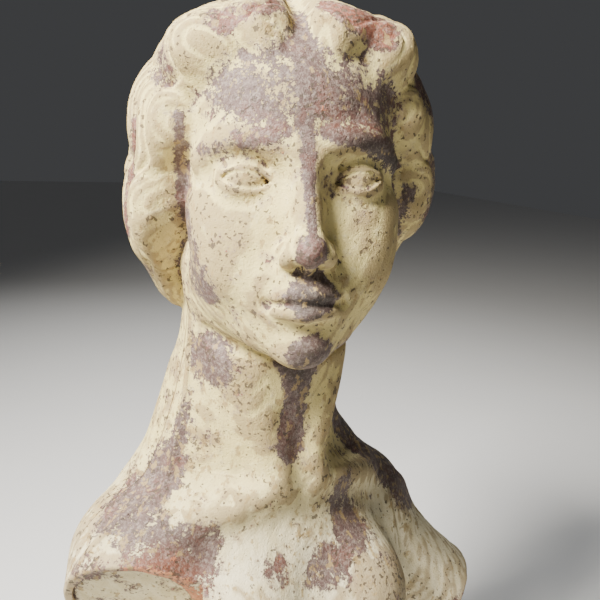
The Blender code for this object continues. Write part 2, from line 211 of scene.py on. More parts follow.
class Clay:
    """Sample points in blocks, and each point's distance from the clay's skin."""

    def __init__(self, points, block_reach):
        self.points = points.astype(np.float32)
        self.depth = np.full(points.shape[:-1], 900.0, np.float32)
        self.middles = self.points.mean(1)
        self.block_reach = block_reach

    def seen_from(self, turn, origin):
        """The same clay in a turned frame."""
        clay = object.__new__(Clay)
        clay.points = ((self.points - np.float32(origin)) @ turn).astype(np.float32)
        clay.depth, clay.block_reach = self.depth, self.block_reach
        clay.middles = clay.points.mean(1)
        return clay

    def near(self, lump, width):
        gap = length(self.middles - lump.centre) - lump.reach - self.block_reach
        limit = width + 8 if self.block_reach else 1e9
        return np.nonzero(gap < limit)[0]

    def add(self, lump, width=0.0):
        near = self.near(lump, width)
        if len(near):
            self.depth[near] = melt(self.depth[near], lump.distance(self.points[near]), width)

    def cut(self, lump, width=0.0):
        near = self.near(lump, width)
        if len(near):
            self.depth[near] = -melt(-self.depth[near], lump.distance(self.points[near]), width)

    def lay(self, path, radii, width, sign=1):
        """A coil of clay laid along a path, or with sign -1 a groove."""
        path = np.asarray(path, float)
        limbs = [Limb(*path[i : i + 2], *radii[i : i + 2]) for i in range(len(path) - 1)]
        nears = [self.near(limb, width) for limb in limbs]
        blocks = np.unique(np.concatenate(nears))
        if not len(blocks):
            return
        slot = np.zeros(len(self.middles), np.int64)
        slot[blocks] = np.arange(len(blocks))
        coil = np.full((len(blocks),) + self.depth.shape[1:], 1e3, np.float32)
        for limb, near in zip(limbs, nears):
            if len(near):
                own = slot[near]
                coil[own] = np.minimum(coil[own], limb.distance(self.points[near]))
        self.depth[blocks] = sign * melt(sign * self.depth[blocks], coil, width)


def spline(points, count):
    """A smooth path through the points."""
    points = np.array(points, float)
    points = np.vstack([2 * points[0] - points[1], points, 2 * points[-1] - points[-2]])
    spans = len(points) - 3
    path = []
    for k in range(count):
        u = k / (count - 1) * spans
        i = min(int(u), spans - 1)
        t = u - i
        a, b, c, d = points[i : i + 4]
        path.append(
            0.5 * (2 * b + (c - a) * t + (2 * a - 5 * b + 4 * c - d) * t**2 + (3 * b - a - 3 * c + d) * t**3)
        )
    return np.array(path)


def graded(count, stops, values):
    return np.interp(np.linspace(0, 1, count), stops, values)


def wander(points, size, seed=0.0):
    """Slow unevenness between about -1 and 1, with features of the given size."""
    q = points / size
    x, y, z = q[..., 0] + seed, q[..., 1] - seed * 0.7, q[..., 2] + seed * 1.3
    first = np.sin(1.9 * x + 1.3 * np.sin(1.7 * y + 0.6 * z)) + np.sin(2.1 * y + 1.1 * np.sin(1.5 * z - x))
    second = np.sin(2.3 * z + 1.2 * np.sin(1.8 * x + 0.9 * y)) + np.sin(3.7 * (x + y) - 2.9 * z)
    return (first + second) / 4


# ---------------------------------------------------------------- the figure


def model_torso(clay):
    clay.add(Ball((0, 12, 92), (110, 78, 100)))
    clay.add(Ball((0, 10, 136), (96, 62, 60)), 24)
    for side in SIDES:
        clay.add(Ball((side * 52, 56, 124), (48, 34, 64)), 26)  # shoulder blade
        out, high = SHOULDERS[side]
        clay.add(Limb((NECK_X + side * 26, 30, 240), (side * (out - 16), 24, high + 24), 30, 36), 28)
        clay.add(Ball((side * out, 16, high), (46, 46, 54)), 24)  # shoulder
    for root, aim, run in ARMS.values():
        clay.add(Limb(root, root + aim * (run + 30), ARM_RADIUS, ARM_RADIUS - 2), 18)
    for side in SIDES:
        clay.add(Ball((side * 50, -52, 86), (48, 42, 50)), 30)  # breast
    clay.add(Limb((0, 8, 60), (0, 8, -45), 80, 52), 20)
    clay.add(Limb((NECK_X, 24, 185), (NECK_X + 2, 8, 335), 62, 56), 26)  # neck
    for side in SIDES:
        muscle = [(NECK_X + side * 50, 2, 345), (NECK_X + side * 36, -24, 275)]
        muscle.append((NECK_X / 2 + side * 13, -40, 206))
        clay.lay(spline(muscle, 9), graded(9, [0, 1], [12, 7]), 18)
        collar = [(side * 14, -42, 192), (side * 42, -38, 186), (side * 70, -26, 176), (side * 90, -10, 164)]
        clay.lay(spline(collar, 9), graded(9, [0, 1], [1.0, 2.5]), 30)
    clay.cut(Ball((NECK_X / 2, -66, 202), (10, 10, 12)), 16)
    for height, dip in ((318, 0.8), (292, 0.7)):  # soft creases round the throat
        turns = np.linspace(-1.1, 1.1, 13)
        ring = [(NECK_X + 66 * math.sin(a), 16 - 66 * math.cos(a), height + 9 * a * a) for a in turns]
        clay.lay(ring, [6 + dip] * 13, 7, -1)


def model_face(head):
    head.add(Ball((0, 12, 28), (72, 94, 80)), 6)
    head.add(Ball((0, -26, -20), (58, 60, 82)), 16)
    head.add(Ball((0, -28, 42), (60, 56, 50)), 20)
    for side in SIDES:
        head.add(Ball((side * 43, -46, -18), (20, 22, 18)), 20)  # cheekbone
        head.add(Ball((side * 33, -55, -46), (25, 26, 30)), 22)  # cheek
        head.add(Ball((side * 38, -24, -54), (16, 30, 26)), 20)
        head.add(Limb((side * 48, 0, -54), (side * 19, -60, -88), 15, 14), 20)  # jaw
    head.add(Ball((0, -76, -95), (18, 17, 14)), 14)  # chin
    head.add(Ball((0, -72, -64), (30, 25, 26)), 16)  # mouth


def eye_opening(points, eye, side):
    """Distance to the almond between the lids."""
    x = (points[..., 0] - eye[0]) * side
    z = points[..., 2] - eye[2] - 0.05 * x
    upper = np.sqrt((x - 1) ** 2 + (z + 15.5) ** 2) - 21.0
    lower = np.sqrt(x * x + (z - 22) ** 2) - 26.2
    return np.maximum(upper, lower)


def model_eye(head, side):
    eye = np.array((side * 31.5, -67.5, 0), np.float32)
    mound = Ball(eye, (16.5, 15.4, 13.5))

    def lids(points):
        return -melt(-mound.distance(points), eye_opening(points, eye, side), 1.6)

    def socket(points):
        return np.maximum(eye_opening(points, eye, side), points[..., 1] - (eye[1] - 6))

    head.add(Form(eye, 17, lids), 5)
    head.cut(Form(eye, 22, socket), 1.6)
    head.add(Ball(eye, 13.6), 0.6)
    crease = [(side * 19, -77.5, 7), (side * 26, -83, 11), (side * 35, -82, 11.5), (side * 44, -74, 7.5)]
    head.lay(spline(crease, 9), graded(9, [0, 0.4, 0.7, 1], [0.6, 1.3, 1.3, 0.6]), 3, -1)


def model_nose(head):
    head.add(Limb((0, -80, 16), (0, -96, -32), 7, 9), 11)
    head.add(Ball((0, -100.5, -37), (9.5, 10, 8.5)), 7)
    for side in SIDES:
        head.add(Ball((side * 11.5, -93, -40), (6, 9, 6.5)), 6)
        head.cut(Ball((side * 31, -92, 1), (17, 12, 11)), 12)
    head.add(Limb((0, -101, -43.5), (0, -95, -47), 3.2, 3.5), 3)


def model_mouth(head):
    for side in SIDES:
        upper = [(0, -96.5, -62.8), (side * 6, -96.6, -61.7), (side * 13, -93.4, -63), (side * 20, -88, -66)]
        head.lay(spline(upper, 10), graded(10, [0, 0.3, 0.65, 1], [3.5, 4.0, 3.4, 1.6]), 5)
        lower = [(0, -95.5, -72.4), (side * 7, -94.6, -72)]
        lower += [(side * 14, -91.4, -70.6), (side * 19, -88.5, -68.8)]
        head.lay(spline(lower, 10), graded(10, [0, 0.4, 0.7, 1], [5.0, 4.7, 3.4, 1.6]), 5)
    for side in SIDES:
        parting = [(0, -101.5, -67.3), (side * 7, -100.2, -66.7)]
        parting += [(side * 14, -96, -67.1), (side * 21, -90, -67.8)]
        head.lay(spline(parting, 10), [1.4] * 10, 3.0, -1)
        head.cut(Ball((side * 23.5, -89, -68), 2.2), 6)
        head.cut(Ball((side * 5.6, -99, -46), (2.6, 4.2, 2.2)), 2)  # nostril
        head.cut(Limb((side * 15, -96, -36), (side * 19, -91.5, -43), 1.3, 1.3), 5)
    head.cut(Limb((0, -102, -51), (0, -105, -57.5), 2.2, 3.0), 4)
    head.cut(Limb((-10, -98, -84), (10, -98, -84), 4, 4), 9)


def model_features(head):
    for side in SIDES:
        brow = [(side * 8, -80, 15), (side * 24, -80, 21), (side * 42, -71, 22), (side * 56, -56, 12)]
        head.lay(spline(brow, 10), [5] * 9 + [4], 14)
    model_nose(head)
    for side in SIDES:
        model_eye(head, side)
    model_mouth(head)


# Where the hair meets the face: angle round the head from the crown, and how far back.
HAIRLINE = [(0, -76), (25, -73), (45, -64), (72, -50), (96, -38)]
HAIRLINE += [(116, -29), (132, -14), (148, 12), (165, 40)]


def step(values, low, high):
    """0 below low, 1 above high and smooth between."""
    t = np.clip((values - low) / (high - low), 0, 1)
    return t * t * (3 - 2 * t)


def hair_rise(points):
    """How far the waves, locks and comb lines stand off the head, and how far inside the hair."""
    x, y, z = np.abs(points[..., 0]), points[..., 1], points[..., 2]
    side = np.sign(points[..., 0])
    around = np.degrees(np.arctan2(x, z - 20))
    behind = y - np.interp(around, *zip(*HAIRLINE))
    down = around * 1.5
    front = np.exp(-((behind / 30) ** 2)) * step(around, 115, 60)
    drift = 0.9 * wander(points, 34.0, 2.0)
    phase = 2 * math.pi * (down - 24) / 50 + behind / 22 + 0.3 * side + drift
    crest = np.abs(np.cos(phase / 2))
    comb = behind + 7 * np.sin(phase) + 2 * drift
    lock = np.abs(np.cos(math.pi * comb / 15)) ** 0.7
    line = np.abs(np.cos(math.pi * comb / 5))
    rear = step(behind, 90, 160)
    rise = 1.5 + crest * (3.8 + 0.8 * front) * (1 - 0.4 * rear) + lock * 2.6 + line * 0.7
    parting = step(x + np.clip(y - 60, 0, 20), 0.5, 9)
    nape = z - np.interp(y, (0, 100), (-94, -72))
    return rise * (0.1 + 0.9 * parting), np.minimum(behind + crest * (3 + 3 * front), nape)


def model_hair(head):
    near = np.nonzero(length(head.middles - np.float32((0, 15, 15))) < 170 + head.block_reach)[0]
    hair = Clay(head.points[near], head.block_reach)
    hair.add(Ball((0, 14, 34), (93, 92, 79)))
    masses = (((-60, -2, -14), (37, 46, 58)), ((-50, 26, -44), (36, 46, 46)))  # by the ears and nape
    masses += (((58, 2, 2), (38, 46, 50)), ((46, 30, -36), (32, 42, 40)))
    for centre, radii in masses:
        hair.add(Ball(centre, radii), 16)
    for side in SIDES:
        hair.add(Ball((side * 32, -48, 71), (32, 25, 20)), 18)
    rise, inward = hair_rise(hair.points)
    body = -melt(rise - hair.depth, inward * 0.8, 9)
    head.depth[near] = melt(head.depth[near], body, 2.5)
    head.add(Ball((0, 88, -34), (44, 26, 40)), 16)
    head.add(Ball((0, 106, -36), (31, 24, 28)), 9)
    ring = [(19 * math.cos(a), 115, -36 + 17 * math.sin(a)) for a in np.linspace(0.3, 2 * math.pi + 0.1, 22)]
    head.lay(ring, graded(22, [0, 1], [9.5, 6.5]), 3)
    for turn in np.linspace(0, 2 * math.pi, 9)[:-1]:
        root = (27 * math.cos(turn), 96, -36 + 25 * math.sin(turn))
        tip = (15 * math.cos(turn + 0.9), 124, -36 + 14 * math.sin(turn + 0.9))
        head.cut(Limb(root, tip, 1.4, 1.0), 2.5)


def model_seam(clay, height):
    """The clay luted over the joint of the halves stands a little proud."""
    x = clay.points[..., 0]
    lap = 24 * step(x, 20, 80) + 20 * step(-x, 40, 90)  # forwards over both shoulders
    y = clay.points[..., 1] - SEAM_Y + lap - 1.0 * wander(clay.points, 26.0, 3.0)
    strength = np.clip(0.75 + 0.4 * wander(clay.points, 30.0, 8.0), 0.2, 1)
    strength = strength * (0.3 + 0.7 * np.clip((345 - clay.points[..., 2]) / 20, 0, 1))
    clay.depth -= height * strength * np.exp(-((y / 3.2) ** 2))


def model_figure(clay):
    model_torso(clay)
    head = clay.seen_from(HEAD_ROTATION, HEAD_ORIGIN)
    model_face(head)
    model_features(head)
    model_hair(head)
    clay.depth -= 0.45 * wander(clay.points, 16.0) + 0.25 * wander(clay.points, 6.5, 5.0)
    model_seam(clay, bpy.context.scene.bust_sizes.seam_height)
    for root, aim, run in ARMS.values():
        cut_off(clay, root + aim * run, aim)
    clay.cut(Form((0, 0, -65), 400, lambda points: points[..., 2] - FOOT_Z))


def cut_off(clay, end, aim):
    """Cut an arm across, a little unevenly as a wire leaves it."""
    end, aim = end.astype(np.float32), aim.astype(np.float32)

    def beyond(points):
        offset = points - end
        along = offset @ aim
        wide = length(offset - along[..., None] * aim) - (ARM_RADIUS + 7)
        return np.maximum(-along - 0.5 + 0.5 * wander(points, 9.0, 2.0), wide)

    clay.cut(Form(end, 95, beyond), 1.6)


def model_hollow(clay):
    sizes = bpy.context.scene.bust_sizes
    wall = sizes.wall / (sizes.figure_scale * MM)
    head = clay.seen_from(HEAD_ROTATION, HEAD_ORIGIN)
    head.add(Ball((0, 14, 32), (72 - wall, 90 - wall, 80 - wall)))
    head.add(Ball((0, -14, -20), (58 - wall, 62 - wall, 74 - wall)), 10)
    clay.add(Limb((NECK_X, 24, 170), (NECK_X + 3, 6, 350), 60 - wall, 53 - wall), 20)
    clay.add(Ball((0, 12, 92), (108 - wall, 76 - wall, 98 - wall)), 20)
    clay.add(Limb((0, 6, 60), (0, 6, -40), 40, 37.5), 8)
    for (root, aim, run), side in zip(ARMS.values(), SIDES):
        clay.add(Limb((side * 70, 12, 120), root + aim * (run - 26), 44 - wall, 42 - wall), 20)
    for root, aim, run in ARMS.values():
        end = root + aim * run
        clay.add(Limb(end - aim * 34, end - aim * 22, 30, 30), 4)


# ---------------------------------------------------------------- from clay to mesh


def to_row(points):
    """From the figure's life-size millimetres to the model's metres."""
    life = bpy.context.scene.bust_sizes.figure_scale * MM
    shift = np.array((0, FIGURE_SHIFT_Y, -FOOT_Z))
    return (points + shift) * life + np.array((0, 0, FIGURE_BOTTOM))


def to_life(points):
    life = bpy.context.scene.bust_sizes.figure_scale * MM
    shift = np.array((0, FIGURE_SHIFT_Y, -FOOT_Z))
    return (points - np.array((0, 0, FIGURE_BOTTOM))) / life - shift


def sampled_skin(model, low, high, grain, block=12):
    """The skin of a clay model, as points in life-size millimetres and four-sided faces."""
    low, high = np.array(low, np.float32), np.array(high, np.float32)
    count = np.ceil((high - low) / (grain * block)).astype(int)
    steps = [np.arange(n) for n in count]
    blocks = np.stack(np.meshgrid(*steps, indexing="ij"), -1).reshape(-1, 3)
    width = grain * block
    coarse = Clay((low + (blocks + 0.5) * width - grain / 2)[:, None, :], 0.0)
    model(coarse)
    depth = coarse.depth[:, 0]
    kept = np.abs(depth) < width * 1.15 + 3
    inside = np.stack(np.meshgrid(*[np.arange(block)] * 3, indexing="ij"), -1).reshape(-1, 3)
    fine = Clay(low + (blocks[kept][:, None, :] * block + inside[None]) * grain, width * 0.87)
    model(fine)
    samples = np.empty((len(blocks), block**3), np.float32)
    samples[:] = np.where(depth < 0, -9.0, 9.0)[:, None]
    samples[kept] = fine.depth
    volume = samples.reshape(*count, block, block, block).transpose(0, 3, 1, 4, 2, 5)
    volume = np.clip(np.ascontiguousarray(volume.reshape(count * block)), -9, 9)
    grid = openvdb.FloatGrid(9.0)
    grid.copyFromArray(volume)
    points, quads = grid.convertToQuads(0.0)
    return low + points * grain, quads[:, ::-1]


def new_object(name, mesh):
    piece = bpy.data.objects.new(name, mesh)
    bpy.context.scene.collection.objects.link(piece)
    return piece


def mesh_from(name, points, faces):
    """A mesh from arrays of points and faces that all have as many corners."""
    mesh = bpy.data.meshes.new(name)
    corners = faces.shape[1]
    mesh.vertices.add(len(points))
    mesh.vertices.foreach_set("co", points.astype(np.float32).ravel())
    mesh.loops.add(faces.size)
    mesh.loops.foreach_set("vertex_index", faces.astype(np.int32).ravel())
    mesh.polygons.add(len(faces))
    mesh.polygons.foreach_set("loop_start", np.arange(0, faces.size, corners, dtype=np.int32))
    mesh.update(calc_edges=True)
    mesh.validate()
    return mesh


def set_modifiers(piece):
    """Turn a piece's modifiers into its mesh."""
    bpy.context.view_layer.update()
    seen = piece.evaluated_get(bpy.context.evaluated_depsgraph_get())
    mesh = bpy.data.meshes.new_from_object(seen)
    old = piece.data
    piece.modifiers.clear()
    piece.data = mesh
    bpy.data.meshes.remove(old)
    return piece


def thin_out(piece, triangles):
    count = sum(len(face.vertices) - 2 for face in piece.data.polygons)
    if count > triangles:
        thin = piece.modifiers.new("thin", "DECIMATE")
        thin.ratio = triangles / count
        set_modifiers(piece)
    return piece


def carve(piece, cutter, operation="DIFFERENCE"):
    before = len(piece.data.polygons)
    knife = piece.modifiers.new("carve", "BOOLEAN")
    knife.object, knife.operation, knife.solver = cutter, operation, "MANIFOLD"
    set_modifiers(piece)
    if len(piece.data.polygons) in (0, before):
        raise RuntimeError(f"{cutter.name} did not cut {piece.name}")
    return piece


def remove(*pieces):
    for piece in pieces:
        bpy.data.objects.remove(piece)


def block(name, low, high):
    mesh = bpy.data.meshes.new(name)
    shape = bmesh.new()
    bmesh.ops.create_cube(shape, size=1)
    low, high = Vector(low), Vector(high)
    scale = Matrix.Diagonal((*(high - low), 1))
    bmesh.ops.transform(shape, matrix=Matrix.Translation((low + high) / 2) @ scale, verts=shape.verts)
    shape.to_mesh(mesh)
    shape.free()
    return new_object(name, mesh)


def turned(name, outline, steps=96, wobble=None):
    """A closed piece turned about Z from (radius, height) points down its outside and up its bore."""
    angles = np.linspace(0, 2 * math.pi, steps, endpoint=False)
    outline = np.array(outline)
    on_axis = outline[:, 0] < 1e-7
    points, rows = [], []
    for (radius, height), single in zip(outline, on_axis):
        start = len(points)
        turn = [0.0] if single else angles
        points += [(radius * math.cos(a), radius * math.sin(a), height) for a in turn]
        rows.append([start + (0 if single else i) for i in range(steps)])
    if not on_axis[0]:
        rows.append(rows[0])
    shape = bmesh.new()
    verts = [shape.verts.new(point) for point in points]
    for upper, lower in zip(rows, rows[1:]):
        for i in range(steps):
            j = (i + 1) % steps
            corners = dict.fromkeys((verts[upper[i]], verts[lower[i]], verts[lower[j]], verts[upper[j]]))
            if len(corners) > 2:
                shape.faces.new(corners)
    bmesh.ops.recalc_face_normals(shape, faces=shape.faces)
    if wobble:
        place = np.array([vert.co for vert in verts])
        for vert, spot in zip(verts, wobble(place)):
            vert.co = spot
    mesh = bpy.data.meshes.new(name)
    shape.to_mesh(mesh)
    shape.free()
    return new_object(name, mesh)


def stand(piece, base, aim):
    """Set a piece turned about Z with its base at a point and its axis along aim."""
    turn = Vector(aim).to_track_quat("Z", "Y").to_matrix().to_4x4()
    piece.data.transform(Matrix.Translation(Vector(base)) @ turn)
    return piece


def coordinates(mesh):
    points = np.empty(len(mesh.vertices) * 3, np.float32)
    mesh.vertices.foreach_get("co", points)
    return points.reshape(-1, 3).astype(float)


def shade(piece, angle=40):
    piece.data.shade_smooth()
    piece.data.set_sharp_from_angle(angle=math.radians(angle))


# ---------------------------------------------------------------- wear, worked out on the mesh


def evened(values, edges, rounds):
    """Values averaged with their neighbours, over and over."""
    count = len(values)
    a, b = edges[:, 0], edges[:, 1]
    share = np.bincount(a, minlength=count) + np.bincount(b, minlength=count) + 1.0
    for _ in range(rounds):
        total = np.array(values, float)
        for axis in range(values.shape[1]):
            total[:, axis] += np.bincount(a, weights=values[b, axis], minlength=count)
            total[:, axis] += np.bincount(b, weights=values[a, axis], minlength=count)
        values = total / share[:, None]
    return values


def relief(mesh, rounds):
    """How far each point stands out from its surroundings, in millimetres."""
    points = coordinates(mesh)
    edges = np.empty(len(mesh.edges) * 2, np.int32)
    mesh.edges.foreach_get("vertices", edges)
    normals = np.empty(len(mesh.vertices) * 3, np.float32)
    mesh.vertices.foreach_get("normal", normals)
    smooth = evened(points, edges.reshape(-1, 2), rounds)
    return ((points - smooth) * normals.reshape(-1, 3)).sum(1) / MM


def stain(points, patches):
    """Cover from a list of (form, softness, strength) patches, 0 to 1."""
    bare = np.ones(len(points))
    for form, softness, strength in patches:
        cover = np.clip(0.5 - form.distance(points.astype(np.float32)) / softness / 2, 0, 1)
        bare *= 1 - strength * cover * cover * (3 - 2 * cover)
    return 1 - bare


def stroke(start, end, start_radius, end_radius, flat=(1, 0.25, 1)):
    """A wiped streak, which reaches the skin however deep it lies along the flattened axis."""
    flat = np.float32(flat)
    limb = Limb(start * flat, end * flat, start_radius, end_radius)
    return Form(start, 0, lambda points: limb.distance(points * flat))


def head_patches():
    """Where the cream has gone from the head: umber, soot and rust, and where painted shade and grime darken
    it.
    """
    beside = (0.25, 1, 1)
    umber = [
        (stroke((0, -76, 96), (0, -86, 14), 5, 4), 3, 1.0),  # stripe down the brow
        (stroke((0, -88, 14), (1, -100, -24), 3.5, 3), 3, 0.95),
        (Ball((0, -74, 50), (60, 34, 26)), 10, 0.52),
        (stroke((-44, -76, 44), (-14, -76, 56), 9, 14), 9, 0.3),
        (stroke((14, -76, 48), (50, -66, 38), 12, 13), 9, 0.34),
        (stroke((-54, -62, 16), (-12, -86, 26), 4, 5), 5, 0.75),  # brows
        (stroke((10, -86, 26), (56, -60, 18), 4, 7), 4, 0.9),
        (stroke((54, -62, 16), (66, -44, -8), 5, 3), 4, 0.85),
        (Ball((1, -106, -37), (9, 9, 9)), 4, 0.85),
        (stroke((0, -98, -30), (0, -100, -40), 4, 4), 3, 0.5),
        (Ball((3, -98, -62), (15, 16, 12)), 5, 0.95),
        (Ball((4, -92, -98), (15, 16, 12)), 5, 0.9),
        (stroke((-68, -46, 36), (-66, -42, -22), 4, 3.5), 4, 0.92),
        (stroke((-64, -44, -22), (-53, -50, -66), 4, 7), 5, 0.9),
        (stroke((77, -34, -8), (64, -40, -62), 6, 8), 7, 0.8),
        (stroke((-94, -26, 34), (-98, -16, -34), 4, 3, beside), 4, 0.85),
        (Ball((-74, -40, 66), (16, 20, 14)), 8, 0.5),
        (Ball((84, -30, 60), (16, 20, 24)), 8, 0.66),
        (Ball((96, -12, 10), (14, 18, 60)), 9, 0.55),
        (Ball((70, -30, 84), (20, 16, 12)), 8, 0.5),
        (Ball((-70, -34, 84), (18, 16, 12)), 8, 0.5),
        (Ball((-96, 20, -50), (20, 26, 24)), 10, 0.45),
        (Ball((40, 84, 70), (34, 34, 34)), 12, 0.48),
        (Ball((-50, 70, 20), (34, 34, 40)), 12, 0.45),
    ]
    soot = [
        (Ball((3, -100, -64), (14, 10, 9)), 6, 0.8),
        (stroke((30, -80, 24), (62, -56, 8), 4, 6), 6, 0.8),
        (stroke((-6, -100, -50), (8, -100, -52), 4, 4), 4, 0.6),
        (Ball((4, -92, -98), (12, 10, 10)), 6, 0.55),
        (stroke((79, -34, -12), (67, -40, -58), 4, 7), 7, 0.6),
        (Ball((86, -26, 56), (8, 12, 18)), 7, 0.5),
    ]
    rust = [
        (stroke((16, -70, 96), (48, -66, 82), 7, 10), 5, 0.95),
        (stroke((-14, -70, 96), (-44, -66, 84), 5, 8), 5, 0.68),
        (stroke((-94, -26, 34), (-98, -16, -34), 4, 3, beside), 4, 0.7),
        (Ball((82, -30, 66), (9, 14, 16)), 8, 0.5),
        (stroke((12, -86, 30), (46, -76, 28), 3, 4), 4, 0.6),
        (stroke((-40, -80, 24), (-14, -86, 28), 3, 3), 4, 0.5),
    ]
    # Painted shade, partly grime: more worn, stained and darker paint over the head, under the hair's front
    # rolls, in the eye sockets, down one side of the face and under the mouth and chin, where shade falls.
    grime_and_shade = [
        (Ball((0, 26, 20), (110, 84, 110)), 12, 0.9),
        (Ball((0, -60, 84), (60, 24, 18)), 10, 0.7),
        (Ball((-30, -80, 6), (26, 30, 16)), 12, 0.7),
        (Ball((34, -76, 4), (30, 30, 18)), 12, 0.7),
        (Ball((-62, -40, -30), (16, 30, 50)), 12, 0.7),
        (Ball((0, -80, -80), (50, 40, 40)), 14, 0.45),
    ]
    return {"umber": umber, "soot": soot, "rust": rust, "grime_and_shade": grime_and_shade}


def body_patches():
    umber = [
        (stroke((-8, -52, 294), (-8, -52, 270), 20, 12), 6, 0.92),  # down the throat
        (stroke((-6, -52, 266), (-12, -50, 224), 8, 11), 6, 0.9),
        (Ball((-57, -13, 282), (15, 20, 17)), 7, 0.85),
        # Painted shadow of the head down the side of the neck, laid in umber.
        (Limb((50, -18, 286), (50, -12, 240), 12, 14), 12, 0.42),
        (Limb((-62, -2, 262), (-76, 2, 228), 7, 12), 10, 0.46),
        (Limb((-60, 12, 214), (-112, 2, 168), 13, 18), 9, 0.66),  # near shoulder
        (Ball((-96, -30, 160), (30, 26, 22)), 9, 0.66),
        (Limb((-66, -44, 168), (-84, -48, 146), 12, 20), 9, 0.6),
        (Ball((42, -56, 168), (17, 18, 40)), 8, 0.74),
        (Ball((58, -50, 120), (16, 26, 24)), 8, 0.62),
        (Ball((14, -66, 132), (20, 16, 18)), 8, 0.6),
        (Ball((-30, -66, 150), (14, 12, 16)), 8, 0.5),
        (Ball((60, -70, 90), (18, 18, 22)), 9, 0.5),
        (Ball((20, -60, 40), (30, 40, 14)), 9, 0.45),
        (Limb((48, 2, 236), (136, 4, 128), 15, 30), 9, 0.82),  # far shoulder
        (Limb((40, 0, 250), (52, 6, 222), 6, 9), 7, 0.6),
        (Ball((-50, 80, 150), (34, 26, 40)), 12, 0.52),
        (Ball((40, 84, 110), (26, 26, 34)), 12, 0.5),
        (Ball((0, 70, 240), (26, 20, 30)), 12, 0.45),
        (Limb((60, 40, 40), (-60, 40, 10), 12, 16), 12, 0.45),
    ]
    soot = [
        (Limb((52, 8, 232), (120, 10, 146), 11, 22), 9, 0.7),
        (stroke((-10, -52, 290), (-8, -52, 276), 13, 8), 7, 0.7),
    ]
    rust = [(Ball((-106, -40, 146), (26, 22, 20)), 12, 0.8)]
    bare = []
    for root, aim, run in ARMS.values():
        end = root + aim * run

        def rim(points, end=end.astype(np.float32), aim=aim.astype(np.float32)):
            offset = points - end
            band = np.maximum(np.abs(offset @ aim) - 0.9, length(offset) - ARM_RADIUS - 8)
            return np.maximum(band, np.maximum(-0.35 * offset[..., 2] - 4, -0.4 * offset[..., 0] - 5))

        bare.append((Form(end, 60, rim), 2.4, 0.9))
        rust.append((Form(end, 60, lambda points, rim=rim: rim(points) - 8), 10, 0.5))
    # Painted shade, partly grime: more worn, stained and darker paint down the neck under the head, over both
    # shoulders and on the chest, where shade falls.
    grime_and_shade = [
        (Limb((-5, 10, 300), (-5, 10, 230), 62, 62), 14, 0.75),
        (Limb((-60, 0, 300), (-70, 10, 200), 24, 30), 14, 0.9),
        (Ball((40, -50, 120), (60, 50, 60)), 14, 0.6),
        (Limb((-80, 10, 180), (-120, -10, 130), 34, 40), 14, 0.8),
        (Limb((50, 10, 235), (130, 10, 110), 30, 46), 14, 0.9),
        (Ball((20, -50, 190), (60, 30, 26)), 14, 0.6),
    ]
    return {"umber": umber, "soot": soot, "rust": rust, "bare": bare, "grime_and_shade": grime_and_shade}


def record_wear(piece):
    """Keep where the paint is worn, stained or thick on each point of a shell, and where painted shade
    darkens it, for its material.
    """
    mesh = piece.data
    points = to_life(coordinates(mesh))
    seen = (points - HEAD_ORIGIN) @ HEAD_ROTATION
    fields = {name: stain(points, patches) for name, patches in body_patches().items()}
    for name, patches in head_patches().items():
        fields[name] = np.maximum(fields[name], stain(seen, patches))
    fine, broad = relief(mesh, 3), relief(mesh, 24)
    fields["edge"] = np.clip(fine * 5 + broad * 0.45 - 0.4, 0, 1)
    fields["recess"] = np.clip(-fine * 9 - broad * 0.5 - 0.1, 0, 1)
    fields["cool"] = np.clip((215 - points[:, 2]) / 70, 0, 1)
    for name, values in fields.items():
        layer = mesh.attributes.new(name, "FLOAT", "POINT")
        layer.data.foreach_set("value", values.astype(np.float32))


# ---------------------------------------------------------------- materials


class Link:
    """A shader socket that takes part in arithmetic."""

    def __init__(self, finish, socket):
        self.finish, self.socket = finish, socket

    def math(self, operation, *others):
        return self.finish.math(operation, self, *others)

    def __add__(self, other):
        return self.math("ADD", other)

    def __sub__(self, other):
        return self.math("SUBTRACT", other)

    def __rsub__(self, other):
        return self.finish.math("SUBTRACT", other, self)

    def __mul__(self, other):
        return self.math("MULTIPLY", other)

    def over(self, other):
        return self.math("MAXIMUM", other)

    def clear_of(self, other):
        """This where the other isn't."""
        return self * (1 - other)

    def between(self, low, high):
        """0 below low, 1 above high and smooth between."""
        settings = {"interpolation_type": "SMOOTHSTEP"}
        values = {"Value": self, "From Min": low, "From Max": high}
        return self.finish.node("ShaderNodeMapRange", settings, values, "Result")

    __radd__ = __add__
    __rmul__ = __mul__


